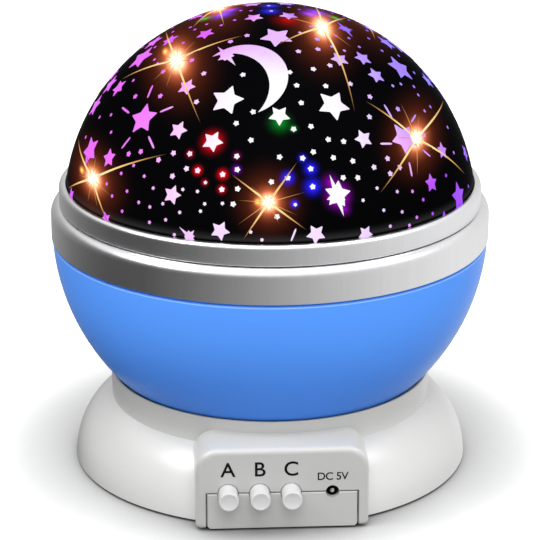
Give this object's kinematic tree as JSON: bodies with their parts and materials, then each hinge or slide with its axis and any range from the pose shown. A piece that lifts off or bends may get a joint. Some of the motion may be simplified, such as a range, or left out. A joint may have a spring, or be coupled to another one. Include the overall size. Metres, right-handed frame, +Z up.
{
  "type": "star night light projector",
  "caption": "Round turning star projector night light: white base with control panel, blue bowl, silver bands and a dark dome with star windows.",
  "frame": {"origin": "on the table under the middle of the round base, which is also the middle of the bowl, ring and dome", "axes": "+Z up along the turning axis, -Y out of the control panel, +X to the right of someone facing the panel"},
  "size_m": [0.13, 0.131, 0.1381],
  "materials": {
    "base_white": "smooth glossy white moulding",
    "cover_white": "smooth white moulding",
    "button_grey": "smooth light grey moulding",
    "bowl_blue": "glossy sky-blue moulding",
    "silver_band": "silver vacuum-plated plastic, brushed look",
    "dome_black": "black glossy dome with clear star windows",
    "reflector_white": "white reflecting plate",
    "gear_white": "natural acetal",
    "pinion_acetal": "natural acetal",
    "gearbox_black": "black moulded housing",
    "motor_steel": "plated steel can",
    "shaft_steel": "turned steel",
    "screw_steel": "zinc-plated steel",
    "foot_rubber": "soft black rubber",
    "cell_jacket": "plain printed steel jacket",
    "contact_metal": "nickel-plated spring steel",
    "board_green": "solder-masked laminate",
    "switch_black": "black switch body",
    "plunger_black": "black switch plunger",
    "jack_black": "black moulded socket",
    "pin_nickel": "nickel-plated contact pin",
    "post_white": "white moulded post",
    "washer_nylon": "natural nylon",
    "led_board_white": "white solder-masked laminate",
    "led_warm_lens": "clear warm lamp",
    "led_red_lens": "clear red lamp",
    "led_green_lens": "clear green lamp",
    "led_blue_lens": "clear blue lamp",
    "lead_red": "vinyl insulation",
    "lead_black": "vinyl insulation",
    "lead_grey": "vinyl insulation"
  },
  "bodies": {
    "base": {"base_shell": "base_white", "battery_1": "cell_jacket", "battery_2": "cell_jacket", "battery_3": "cell_jacket", "battery_4": "cell_jacket", "battery_contacts_front": "contact_metal", "battery_contacts_rear": "contact_metal", "battery_leads": "lead_red", "board_screws": "screw_steel", "bottom_cover": "cover_white", "control_board": "board_green", "cover_screws": "screw_steel", "dc_jack": "jack_black", "dc_jack_pin": "pin_nickel", "foot_1": "foot_rubber", "foot_2": "foot_rubber", "foot_3": "foot_rubber", "foot_4": "foot_rubber", "gearbox_screws": "screw_steel", "glide_washer": "washer_nylon", "hub_retainer": "contact_metal", "lamp_post": "post_white", "led_blue": "led_blue_lens", "led_board": "led_board_white", "led_green": "led_green_lens", "led_leads": "lead_grey", "led_red": "led_red_lens", "led_warm": "led_warm_lens", "motor_can": "motor_steel", "motor_gearbox": "gearbox_black", "motor_leads": "lead_black", "post_screws": "screw_steel", "switch_a": "switch_black", "switch_b": "switch_black", "switch_c": "switch_black"},
    "bowl_head": {"bowl": "bowl_blue", "drive_ring": "gear_white", "ring_screws": "screw_steel", "trim_ring": "silver_band", "inner_deck": "reflector_white", "deck_screws": "screw_steel"},
    "pinion": {"drive_pinion": "pinion_acetal", "motor_shaft": "shaft_steel"},
    "dome": {"star_dome": "dome_black", "dome_collar": "silver_band"},
    "button_a_body": {"button_a": "button_grey", "switch_plunger_a": "plunger_black"},
    "button_b_body": {"button_b": "button_grey", "switch_plunger_b": "plunger_black"},
    "button_c_body": {"button_c": "button_grey", "switch_plunger_c": "plunger_black"},
    "battery_door_body": {"battery_door": "cover_white"}
  },
  "joints": [
    {"name": "head_spin", "type": "hinge", "parent": "base", "child": "bowl_head", "pos_m": [0, 0, 0.025], "axis": [0, 0, 1], "continuous": true},
    {"name": "pinion_spin", "type": "hinge", "parent": "base", "child": "pinion", "pos_m": [0, -0.027, 0.0209], "axis": [0, 0, 1], "continuous": true},
    {"name": "dome_lift", "type": "slide", "parent": "bowl_head", "child": "dome", "axis": [0, 0, 1], "range_m": [0, 0.06]},
    {"name": "button_a_press", "type": "slide", "parent": "base", "child": "button_a_body", "axis": [0, 1, 0], "range_m": [0, 0.0008], "stiffness_N_per_m": 300, "springref_m": -0.0005},
    {"name": "button_b_press", "type": "slide", "parent": "base", "child": "button_b_body", "axis": [0, 1, 0], "range_m": [0, 0.0008], "stiffness_N_per_m": 300, "springref_m": -0.0005},
    {"name": "button_c_press", "type": "slide", "parent": "base", "child": "button_c_body", "axis": [0, 1, 0], "range_m": [0, 0.0008], "stiffness_N_per_m": 300, "springref_m": -0.0005},
    {"name": "battery_door_swing", "type": "hinge", "parent": "base", "child": "battery_door_body", "pos_m": [0, 0.03755, 0.0019], "axis": [1, 0, 0], "range_deg": [0, 100]}
  ],
  "couplings": [
    {"joint": "pinion_spin", "follows": "head_spin", "ratio": 4}
  ]
}
